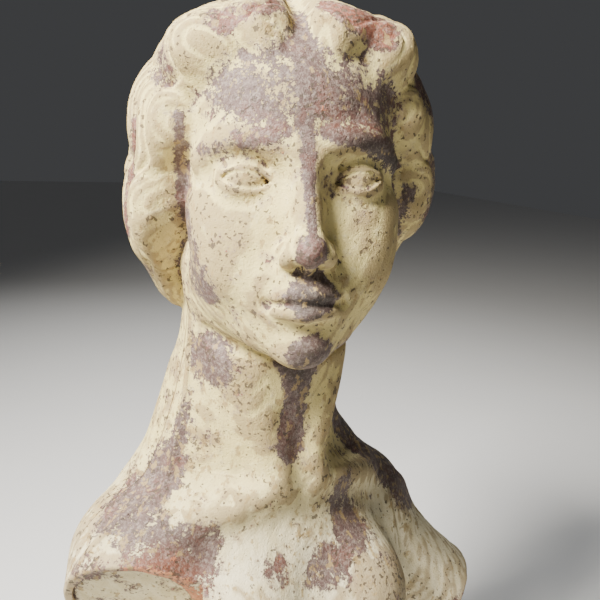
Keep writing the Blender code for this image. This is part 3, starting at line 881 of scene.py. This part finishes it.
class Finish:
    """A material in the making."""

    def __init__(self, name):
        self.material = bpy.data.materials.new(name)
        self.material.use_nodes = True
        self.tree = self.material.node_tree
        self.shader = self.tree.nodes["Principled BSDF"]
        self.place = self.node("ShaderNodeTexCoord", {}, {}, "Object")

    def node(self, kind, settings, values, output):
        made = self.tree.nodes.new(kind)
        for name, value in settings.items():
            setattr(made, name, value)
        for name, value in values.items():
            self.feed(made.inputs[name], value)
        return Link(self, made.outputs[output])

    def feed(self, socket, value):
        if isinstance(value, Link):
            self.tree.links.new(value.socket, socket)
        elif socket.type == "RGBA":
            socket.default_value = (*value[:3], 1)
        else:
            socket.default_value = value

    def math(self, operation, *values):
        made = self.tree.nodes.new("ShaderNodeMath")
        made.operation = operation
        for socket, value in zip(made.inputs, values):
            self.feed(socket, value)
        return Link(self, made.outputs[0])

    def mix(self, share, first, second):
        made = self.tree.nodes.new("ShaderNodeMix")
        made.data_type = "RGBA"
        self.feed(made.inputs[0], share)
        self.feed(made.inputs[6], first)
        self.feed(made.inputs[7], second)
        return Link(self, made.outputs[2])

    def stretched(self, scale, turn=(0, 0, 0)):
        values = {"Vector": self.place, "Scale": scale, "Rotation": turn}
        return self.node("ShaderNodeMapping", {}, values, "Vector")

    def noise(self, size, detail=3, rough=0.6, place=None, bend=0.0):
        """Cloudy noise about 0.5, with features of a size in metres."""
        values = {"Vector": place or self.place, "Scale": 1 / size, "Detail": detail}
        values.update({"Roughness": rough, "Distortion": bend})
        return self.node("ShaderNodeTexNoise", {}, values, "Fac")

    def cells(self, size, place=None):
        values = {"Vector": place or self.place, "Scale": 1 / size}
        return self.node("ShaderNodeTexVoronoi", {}, values, "Distance")

    def kept(self, name):
        return self.node("ShaderNodeAttribute", {"attribute_name": name}, {}, "Fac")

    def finish(self, colour, roughness, height=None, depth=MM, metallic=0.0):
        self.feed(self.shader.inputs["Base Color"], colour)
        self.feed(self.shader.inputs["Roughness"], roughness)
        self.feed(self.shader.inputs["Metallic"], metallic)
        if height is not None:
            bump = self.node("ShaderNodeBump", {}, {"Height": height, "Distance": depth}, "Normal")
            self.feed(self.shader.inputs["Normal"], bump)
        return self.material


# Tones that the coats of paint take where they are thin, thick, stained or marked, and the darker tone given
# to the hollows.
BRUSHED = (0.50, 0.40, 0.17)
THICK = (0.80, 0.72, 0.46)
STAINED = (0.40, 0.29, 0.13)
HOLLOW_DARK = (0.30, 0.21, 0.10)
THIN = (0.34, 0.26, 0.19)
SCUMBLE = (0.42, 0.35, 0.29)
DARK_CLAY = (0.42, 0.15, 0.07)
FLECK = (0.07, 0.048, 0.03)
PIT = (0.16, 0.11, 0.07)


def worn_paint(finish, umber, soot, rust, bare, edge, recess, cool, grime_and_shade):
    """Chalky cream over umber over fired clay, broken through in flakes and scratches, with painted shade
    worked into the wear.
    """
    tones = bpy.context.scene.bust_colours
    broad = finish.noise(20 * MM, 4, 0.62, bend=0.3)
    middle = finish.noise(5 * MM, 4, 0.65)
    fine = finish.noise(1.3 * MM, 3, 0.6)
    dust = finish.noise(0.6 * MM, 2, 0.7)
    dabs = finish.noise(9 * MM, 3, 0.5, finish.stretched((1.6, 1.6, 0.55), (0.3, 0.2, 0.5)))
    streak = finish.noise(2.0 * MM, 3, 0.6, finish.stretched((1, 1, 0.22), (0.15, -0.1, 0)))
    ragged = (broad - 0.5) * 1.5 + (middle - 0.5) * 1.25 + (fine - 0.5) * 0.85 + (dust - 0.5) * 0.45
    ragged = ragged + (streak - 0.5) * 0.5
    # The mask of painted shade and grime wears more paint through where shade falls; below, it also adds
    # stains, darker hollows, flecks and ochre there.
    worn = umber.over(soot).over(rust * 0.9) + grime_and_shade * 0.16
    loss = worn + edge * 0.35 + ragged - 0.5
    flaked = loss.between(-0.02, 0.03)
    thin = loss.between(-0.26, 0.02)

    cream = finish.mix(cool * 0.9, tones.cream, tones.chalk)
    cream = finish.mix(dabs.between(0.35, 0.7) * 0.4, cream, BRUSHED)
    cream = finish.mix(middle.between(0.5, 0.72) * 0.35, cream, THICK)
    stained = (broad + middle * 0.6 + grime_and_shade * 0.12).between(0.86, 1.02)
    cream = finish.mix(stained * 0.6, cream, STAINED)
    # Darker in the hollows, and more so where painted shade lies.
    darkened = (recess + grime_and_shade * recess + (fine - 0.5) * 0.5).between(0.15, 1.0)
    cream = finish.mix(darkened * 0.7, cream, HOLLOW_DARK)
    cream = finish.mix(thin * 0.5, cream, THIN)

    under = finish.mix(rust.over(broad.between(0.52, 0.66) * 0.35), tones.umber, tones.rust)
    under = finish.mix(soot.over(middle.between(0.6, 0.7) * 0.4), under, tones.soot)
    scumble = (finish.noise(2.2 * MM, 4, 0.75) + dust * 0.35).between(0.60, 0.86)
    under = finish.mix(scumble.clear_of(soot * 0.6) * 0.42, under, SCUMBLE)

    clay_patch = (bare * 1.15 + ragged * 1.2 + rust * 0.2 - 0.66).between(-0.03, 0.05)
    clay = finish.mix(middle.between(0.4, 0.65), tones.terracotta, DARK_CLAY)
    under = finish.mix(clay_patch, under, clay)
    colour = finish.mix(flaked.over(clay_patch), cream, under)

    spots = finish.noise(2.6 * MM, 2, 0.5)
    flecks = (spots + (broad - 0.5) * 0.35 + grime_and_shade * 0.07 + recess * 0.06).between(0.685, 0.715)
    colour = finish.mix(flecks * 0.8, colour, FLECK)
    ochre = finish.noise(4.2 * MM, 3, 0.6, finish.stretched((1, 1, 0.6)))
    ochre = (ochre + (middle - 0.5) * 0.3 + grime_and_shade * 0.07).between(0.62, 0.68)
    colour = finish.mix(ochre * 0.75, colour, tones.ochre)
    pits = finish.cells(1.9 * MM).between(0.0, 0.32)
    colour = finish.mix((1 - pits) * fine.between(0.52, 0.62) * 0.6, colour, PIT)

    gone = flaked.over(clay_patch)
    height = (1 - gone) * 0.42 + fine * 0.3 + dust * 0.12 + middle * 0.45
    height = height + dabs * 0.2 + pits * 0.14 - flecks * 0.2
    roughness = 0.9 - gone * 0.22 - dust * 0.06
    return finish.finish(colour, roughness, height, 1.2 * MM)


def shell_paint(name):
    finish = Finish(name)
    words = ("umber", "soot", "rust", "bare", "edge", "recess", "cool", "grime_and_shade")
    return worn_paint(finish, *[finish.kept(word) for word in words])


def plain_paint(name, wear=0.2, cool=0.7, bare=0.1):
    """The same paint on a piece that keeps no wear of its own."""
    finish = Finish(name)
    patch = finish.noise(34 * MM, 2, 0.5).between(0.46, 0.62)
    nothing = patch * 0.0
    covers = (patch * wear * 2, nothing + 0.1, patch * wear, nothing + bare)
    return worn_paint(finish, *covers, finish.kept("edge"), finish.kept("recess"), nothing + cool, patch)


def cast_plaster(name):
    finish = Finish(name)
    cloud = finish.noise(9 * MM, 4, 0.6)
    holes = finish.cells(3.2 * MM).between(0.05, 0.22)
    colour = finish.mix(cloud.between(0.35, 0.7), (0.83, 0.81, 0.76), (0.70, 0.67, 0.60))
    colour = finish.mix(1 - holes, colour, (0.45, 0.42, 0.36))
    return finish.finish(colour, 0.92 - cloud * 0.08, holes + cloud * 0.6, 0.5 * MM)


def zinc_steel(name):
    finish = Finish(name)
    spangle = finish.cells(2.4 * MM)
    rub = finish.noise(0.7 * MM, 2, 0.5, finish.stretched((1, 1, 6)))
    bloom = finish.noise(6 * MM, 4, 0.7).between(0.55, 0.72)
    colour = finish.mix(spangle * 1.2, (0.50, 0.51, 0.53), (0.68, 0.69, 0.70))
    colour = finish.mix(bloom * 0.5, colour, (0.62, 0.61, 0.57))
    roughness = 0.34 + rub * 0.16 + bloom * 0.25
    return finish.finish(colour, roughness, rub * 0.5 + spangle * 0.2, 0.05 * MM, 1 - bloom * 0.4)


def beech(name):
    finish = Finish(name)
    grain = finish.noise(1.6 * MM, 5, 0.65, finish.stretched((1, 1, 0.08)))
    pores = finish.cells(0.8 * MM, place=finish.stretched((1, 1, 0.12))).between(0.05, 0.4)
    colour = finish.mix(grain.between(0.35, 0.65), (0.63, 0.44, 0.26), (0.47, 0.29, 0.15))
    colour = finish.mix((1 - pores) * 0.5, colour, (0.25, 0.14, 0.07))
    return finish.finish(colour, 0.62 + grain * 0.15, grain + pores * 0.4, 0.15 * MM)


def tanned_leather(name):
    finish = Finish(name)
    pebble = finish.cells(0.9 * MM).between(0.0, 0.55)
    cloud = finish.noise(7 * MM, 4, 0.6)
    colour = finish.mix(cloud.between(0.35, 0.68), (0.20, 0.105, 0.055), (0.30, 0.17, 0.09))
    colour = finish.mix((1 - pebble) * 0.6, colour, (0.09, 0.045, 0.025))
    return finish.finish(colour, 0.5 + cloud * 0.2, pebble + cloud * 0.3, 0.18 * MM)


def wool_felt(name):
    finish = Finish(name)
    tuft = finish.noise(0.9 * MM, 5, 0.8, bend=1.4)
    strand = finish.noise(0.5 * MM, 2, 0.5, finish.stretched((0.25, 2.0, 1), (0, 0, 0.7)))
    worn = finish.noise(18 * MM, 3, 0.6).between(0.5, 0.7)
    colour = finish.mix(tuft.between(0.35, 0.65), (0.045, 0.105, 0.062), (0.10, 0.19, 0.115))
    colour = finish.mix(worn * 0.35, colour, (0.20, 0.24, 0.17))
    finish.shader.inputs["Sheen Weight"].default_value = 0.35
    return finish.finish(colour, 0.96 - strand * 0.06, tuft + strand * 0.7, 0.35 * MM)


def pale_floor(name):
    finish = Finish(name)
    cloud = finish.noise(0.12, 3, 0.5)
    tone = tuple(bpy.context.scene.bust_stage.floor)
    colour = finish.mix(cloud.between(0.3, 0.7) * 0.25, tone, tuple(0.96 * part for part in tone))
    return finish.finish(colour, 0.75)


MATERIALS = {
    "painted_terracotta": shell_paint,
    "slab_clay": lambda name: plain_paint(name, 0.16, 0.9, 0.05),
    "socle_terracotta": lambda name: plain_paint(name, 0.26, 0.6, 0.22),
    "casting_plaster": cast_plaster,
    "zinc_steel": zinc_steel,
    "beech_dowel": beech,
    "gasket_leather": tanned_leather,
    "green_felt": wool_felt,
    "floor_paint": pale_floor,
}


def surface(slot):
    """The material of a slot, made when it is first asked for."""
    name = f"{slot}_finish"
    return bpy.data.materials.get(name) or MATERIALS[slot](name)


def clothe(piece, slot):
    piece.data.materials.clear()
    piece.data.materials.append(surface(slot))


def hand_over(piece, node, slot):
    """Finish a piece that takes a CAD node's place."""
    clothe(piece, slot)
    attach(piece, "root")
    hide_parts(node)


def keep_relief(piece):
    fine = relief(piece.data, 2)
    for name, values in (("edge", fine * 6), ("recess", -fine * 6)):
        layer = piece.data.attributes.new(name, "FLOAT", "POINT")
        layer.data.foreach_set("value", np.clip(values, 0, 1).astype(np.float32))


# ---------------------------------------------------------------- operators


FIGURE_ROOM = ((-200, -140, -36), (250, 150, 540))  # corners of the space that is sampled
HOLLOW_ROOM = ((-180, -110, -80), (220, 130, 500))
HOLLOW_GRAIN = 4.0
HOLLOW_TRIANGLES = 30000


class BUST_OT_moulded_halves(Operator):
    """Sculpt the figure, hollow it and part it into its moulded halves"""

    bl_idname = "bust.moulded_halves"
    bl_label = "Moulded halves"

    def execute(self, context):
        sizes = context.scene.bust_sizes
        grain = sizes.grain * 1
        points, quads = sampled_skin(model_figure, *FIGURE_ROOM, grain)
        skin = new_object("figure_skin", mesh_from("figure_skin", to_row(points), quads))
        thin_out(skin, sizes.shell_triangles)
        points, quads = sampled_skin(model_hollow, *HOLLOW_ROOM, HOLLOW_GRAIN)
        hollow = new_object("hollow_skin", mesh_from("hollow_skin", to_row(points), quads))
        thin_out(hollow, HOLLOW_TRIANGLES)
        life = sizes.figure_scale * MM
        radius = (ARM_RADIUS - ARM_RIM) * life
        pockets = []
        for word, (root, aim, run) in ARMS.items():
            pocket = turned(f"{word}_pocket", [(0, 22 * MM), (radius, 22 * MM), (radius, 0), (0, 0)])
            pockets.append(stand(pocket, to_row(root + aim * run) - aim * 9.8 * MM, aim))
        for cutter in [hollow] + pockets:
            carve(skin, cutter)
        seam = (SEAM_Y + FIGURE_SHIFT_Y) * life
        halves = {
            "bust_front_shell": block("ahead", (-1, -1, -1), (1, seam - GAP / 2, 1)),
            "bust_back_shell": block("behind", (-1, seam + GAP / 2, -1), (1, 1, 1)),
        }
        for node, cutter in halves.items():
            shell = new_object(f"{node}_clay", skin.data.copy())
            carve(shell, cutter, "INTERSECT")
            shade(shell, 55)
            record_wear(shell)
            hand_over(shell, node, "painted_terracotta")
        remove(skin, hollow, *pockets, *halves.values())
        return {"FINISHED"}


class BUST_OT_arm_slabs(Operator):
    """Set a slab of clay into each arm's open end"""

    bl_idname = "bust.arm_slabs"
    bl_label = "Arm slabs"

    def execute(self, context):
        life = context.scene.bust_sizes.figure_scale * MM
        radius = (ARM_RADIUS - ARM_RIM) * life - GAP
        for word, (root, aim, run) in ARMS.items():
            rings = [(0, 8 * MM)]
            rings += [(radius * i / 26, 8 * MM) for i in range(1, 26)]
            rings += [(radius - 0.5 * MM, 7.8 * MM), (radius, 7.2 * MM), (radius, 0.8 * MM)]
            rings += [(radius - 0.8 * MM, 0), (0, 0)]

            def pressed(points, seed=run):
                high = points[:, 2] > 6 * MM
                dip = 0.45 * wander(points, 11 * MM, seed) + 0.25 * wander(points, 4 * MM, seed) - 0.6
                points[:, 2] += high * dip * MM
                return points

            slab = turned(f"{word}_slab_clay", rings, 120, pressed)
            stand(slab, to_row(root + aim * run) - aim * 9.5 * MM, aim)
            shade(slab)
            keep_relief(slab)
            hand_over(slab, f"{word}_arm_slab", "slab_clay")
        return {"FINISHED"}


def socle_outline():
    """(radius, height) down the socle's outside, finely stepped."""
    low, high = SOCLE_LOW.z, SOCLE_HIGH.z
    foot, tall = SOCLE_HIGH.x, high - low
    top = foot - 26 * MM
    points = [(top - 2 * MM, tall), (top - 0.6 * MM, tall - 0.6 * MM)]
    points += [(top, tall - 2 * MM), (top, tall - 9 * MM), (top - 0.8 * MM, tall - 9.8 * MM)]
    points += [(top - 5 * MM, tall - 10 * MM), (top - 5 * MM, tall - 13 * MM)]
    for i in range(1, 36):
        t = i / 36
        blend = t * t * (3 - 2 * t)
        ends = (1 - blend) * (top - 7 * MM) + blend * (foot - 15 * MM)
        drop = (tall - 13 * MM) + t * (33 * MM - (tall - 13 * MM))
        points.append((ends - 12 * MM * math.sin(math.pi * t) ** 1.2, drop))
    points += [(foot - 13 * MM, 33 * MM), (foot - 13 * MM, 30 * MM)]
    for i in range(13):
        angle = math.radians(90 - 15 * i)
        points.append((foot - 11.5 * MM + 6.5 * MM * math.cos(angle), 23.5 * MM + 6.5 * MM * math.sin(angle)))
    points += [(foot - 6 * MM, 17 * MM), (foot - 2 * MM, 17 * MM)]
    points += [(foot - 0.6 * MM, 16.4 * MM), (foot, 15 * MM)]
    points += [(foot, 8 * MM), (foot, 1.5 * MM), (foot - 1.5 * MM, 0), (22 * MM, 0), (22 * MM, 22 * MM)]
    points += [(5.5 * MM, 22 * MM), (5.5 * MM, tall)]
    return [(radius, low + height) for radius, height in points]


def stepped(outline, step):
    """The outline with no stretch longer than step."""
    points = []
    for a, b in zip(outline, outline[1:] + outline[:1]):
        count = max(1, math.ceil(math.dist(a, b) / step))
        points += [(a[0] + (b[0] - a[0]) * i / count, a[1] + (b[1] - a[1]) * i / count) for i in range(count)]
    return points


class BUST_OT_socle(Operator):
    """Turn the socle, with the throwing lines and chips of a fired one"""

    bl_idname = "bust.socle"
    bl_label = "Turned socle"

    def execute(self, context):
        outline = stepped(socle_outline(), 2.2 * MM)

        def thrown(points):
            radius = np.hypot(points[:, 0], points[:, 1])
            outside = np.clip((radius - 30 * MM) / (4 * MM), 0, 1)
            lines = 0.10 * np.sin(points[:, 2] / (0.55 * MM)) + 0.30 * wander(points, 14 * MM, 4.0)
            chips = np.clip(wander(points, 7 * MM, 9.0) - 0.55, 0, 1) * 1.6
            share = 1 + outside * (lines - 0.42 - chips) * MM / np.maximum(radius, 1e-6)
            points[:, :2] *= share[:, None]
            return points

        socle = turned("socle_clay", outline, 180, thrown)
        low = SOCLE_HIGH.z - 14.3 * MM
        dowel_low, dowel_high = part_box("locating_dowel")
        middle = (dowel_low + dowel_high) / 2
        hole = turned("dowel_hole", [(0, 20 * MM), (3.3 * MM, 20 * MM), (3.3 * MM, 0), (0, 0)], 32)
        stand(hole, (middle.x, middle.y, low), (0, 0, 1))
        carve(socle, hole)
        remove(hole)
        shade(socle, 50)
        keep_relief(socle)
        hand_over(socle, "socle", "socle_terracotta")
        return {"FINISHED"}


class BUST_OT_fixings(Operator):
    """Cut the tie rod's thread and finish the nuts, washers, plug and dowel"""

    bl_idname = "bust.fixings"
    bl_label = "Fixings"

    def execute(self, context):
        pitch = context.scene.bust_sizes.thread_pitch
        steps, rise = 40, pitch / 8
        tall = ROD_HIGH.z - ROD_LOW.z
        rows = int(tall / rise)
        angle = np.arange(steps) * 2 * math.pi / steps
        height = np.linspace(0, tall, rows)[:, None]
        turn = (height / pitch - angle[None] / (2 * math.pi)) % 1.0
        from_end = np.minimum(height, tall - height)
        depth = 0.9 * MM * (1 - np.abs(turn * 2 - 1)) * np.clip(from_end / pitch, 0, 1)
        radius = 5 * MM - depth - 0.8 * MM * np.clip(1 - from_end / MM, 0, 1)
        ring = np.stack([radius * np.cos(angle), radius * np.sin(angle), height + 0 * angle], -1)
        verts = [tuple(point) for point in ring.reshape(-1, 3)]
        faces = []
        for i in range(rows - 1):
            for j in range(steps):
                k = (j + 1) % steps
                faces.append((i * steps + j, i * steps + k, (i + 1) * steps + k, (i + 1) * steps + j))
        faces.append(tuple(range(steps))[::-1])
        faces.append(tuple((rows - 1) * steps + j for j in range(steps)))
        mesh = bpy.data.meshes.new("threaded_rod")
        mesh.from_pydata(verts, [], faces)
        mesh.transform(Matrix.Translation((0, 0, ROD_LOW.z)))
        rod = new_object("threaded_rod", mesh)
        shade(rod, 35)
        hand_over(rod, "tie_rod", "zinc_steel")
        slots = {"plaster_plug": "casting_plaster", "locating_dowel": "beech_dowel"}
        for node in ("upper_washer", "upper_nut", "lower_washer", "lower_nut"):
            slots[node] = "zinc_steel"
        for node, slot in slots.items():
            clothe(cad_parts[node], slot)
        return {"FINISHED"}


class BUST_OT_gasket_and_felt(Operator):
    """Lay the leather between foot and socle, and the felt beneath"""

    bl_idname = "bust.gasket_and_felt"
    bl_label = "Gasket and felt"

    def execute(self, context):
        specs = (
            ("leather_gasket", "gasket_leather", GASKET_LOW, GASKET_HIGH, 0.35),
            ("felt_pad", "green_felt", FELT_LOW, FELT_HIGH, 0.5),
        )
        for node, slot, low, high, ragged in specs:
            outer, thick = high.x, high.z - low.z
            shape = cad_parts[node].data
            radii = np.hypot(*coordinates(shape)[:, :2].T)
            if node == "leather_gasket":
                bore = float(radii.min())
            else:
                bore = float(radii[radii < outer * 0.6].max(initial=0))
            rim = []
            for a in np.linspace(0, math.pi, 9):
                rim.append((outer - 0.45 * thick * (1 - math.sin(a)), thick / 2 + thick / 2 * math.cos(a)))
            outline = [(bore, thick)]
            outline += [(bore + (rim[0][0] - bore) * i / 20, thick) for i in range(1, 20)] + rim
            outline += [(bore, 0)] if bore > 1e-4 else [(0, 0)]

            def cut_by_hand(points, outer=outer, ragged=ragged, thick=thick):
                radius = np.hypot(points[:, 0], points[:, 1])
                share = np.clip(radius / outer - 0.8, 0, 0.2) * 5
                points[:, :2] *= (1 - share * ragged * MM * (0.6 + wander(points, 8 * MM)) / outer)[:, None]
                return points

            piece = turned(f"{node}_cut", outline, 144, cut_by_hand)
            piece.data.transform(Matrix.Translation((0, 0, low.z)))
            shade(piece, 45)
            hand_over(piece, node, slot)
        return {"FINISHED"}


# Name, azimuth and elevation in degrees, distance, size in metres, watts, colour.
LAMPS = (
    ("key", -88, 43, 1.1, 0.35, 20.5, (1.0, 0.97, 0.91)),
    ("fill", -30, 20, 1.8, 1.2, 0.6, (0.93, 0.96, 1.0)),
    ("back", 165, 35, 1.8, 1.2, 7.0, (0.96, 0.98, 1.0)),
)
LAMP_SPREAD = math.radians(95)
SKY = (0.86, 0.88, 0.92, 1)
SKY_STRENGTH = 0.06


class BUST_OT_stage(Operator):
    """Set the floor, the lights and the camera"""

    bl_idname = "bust.stage"
    bl_label = "Stage"

    def execute(self, context):
        stage = context.scene.bust_stage
        mesh = bpy.data.meshes.new("floor")
        shape = bmesh.new()
        bmesh.ops.create_grid(shape, x_segments=8, y_segments=8, size=4)
        shape.to_mesh(mesh)
        shape.free()
        floor = new_object("floor", mesh)
        clothe(floor, "floor_paint")
        world = bpy.data.worlds.new("studio")
        world.use_nodes = True
        background = world.node_tree.nodes["Background"]
        background.inputs["Color"].default_value = SKY
        background.inputs["Strength"].default_value = SKY_STRENGTH
        context.scene.world = world
        aim = Vector(stage.aim)
        for lamp in LAMPS:
            self.light(context, aim, *lamp)
        lens = bpy.data.cameras.new("camera")
        lens.angle, lens.clip_start = stage.view_angle, 0.01
        camera = bpy.data.objects.new("camera", lens)
        context.scene.collection.objects.link(camera)
        away = self.away(stage.azimuth, stage.elevation)
        camera.location = aim + away * stage.distance
        turn = (-away).to_track_quat("-Z", "Y") @ Quaternion((0, 0, 1), stage.roll)
        camera.rotation_euler = turn.to_euler()
        context.scene.camera = camera
        return {"FINISHED"}

    def away(self, azimuth, elevation):
        level = math.cos(elevation)
        return Vector((math.sin(azimuth) * level, -math.cos(azimuth) * level, math.sin(elevation)))

    def light(self, context, aim, name, azimuth, elevation, distance, size, power, colour):
        lamp = bpy.data.lights.new(name, "AREA")
        lamp.size, lamp.energy, lamp.color = size, power, colour
        lamp.spread = LAMP_SPREAD
        away = self.away(math.radians(azimuth), math.radians(elevation))
        place = bpy.data.objects.new(name, lamp)
        place.location = aim + away * distance
        place.rotation_euler = (-away).to_track_quat("-Z", "Y").to_euler()
        context.scene.collection.objects.link(place)


class BUST_PT_panel(Panel):
    """The steps of making the bust, in order"""

    bl_label = "Terracotta bust"
    bl_idname = "BUST_PT_panel"
    bl_space_type = "VIEW_3D"
    bl_region_type = "UI"
    bl_category = "Bust"

    def draw(self, context):
        for group in (context.scene.bust_sizes, context.scene.bust_colours, context.scene.bust_stage):
            box = self.layout.box()
            for name in group.__annotations__:
                box.prop(group, name)
        for operator in STEPS:
            self.layout.operator(operator.bl_idname)


STEPS = (
    BUST_OT_stage,
    BUST_OT_moulded_halves,
    BUST_OT_arm_slabs,
    BUST_OT_socle,
    BUST_OT_fixings,
    BUST_OT_gasket_and_felt,
)
CLASSES = (BustSizes, BustColours, StageSettings) + STEPS + (BUST_PT_panel,)


def register():
    for cls in CLASSES:
        bpy.utils.register_class(cls)
    bpy.types.Scene.bust_sizes = PointerProperty(type=BustSizes)
    bpy.types.Scene.bust_colours = PointerProperty(type=BustColours)
    bpy.types.Scene.bust_stage = PointerProperty(type=StageSettings)


def unregister():
    del bpy.types.Scene.bust_stage
    del bpy.types.Scene.bust_colours
    del bpy.types.Scene.bust_sizes
    for cls in reversed(CLASSES):
        bpy.utils.unregister_class(cls)


def main():
    register()
    bpy.ops.bust.stage()
    bpy.ops.bust.moulded_halves()
    bpy.ops.bust.arm_slabs()
    bpy.ops.bust.socle()
    bpy.ops.bust.fixings()
    bpy.ops.bust.gasket_and_felt()
    bpy.context.view_layer.update()


if __name__ == "__main__":
    main()
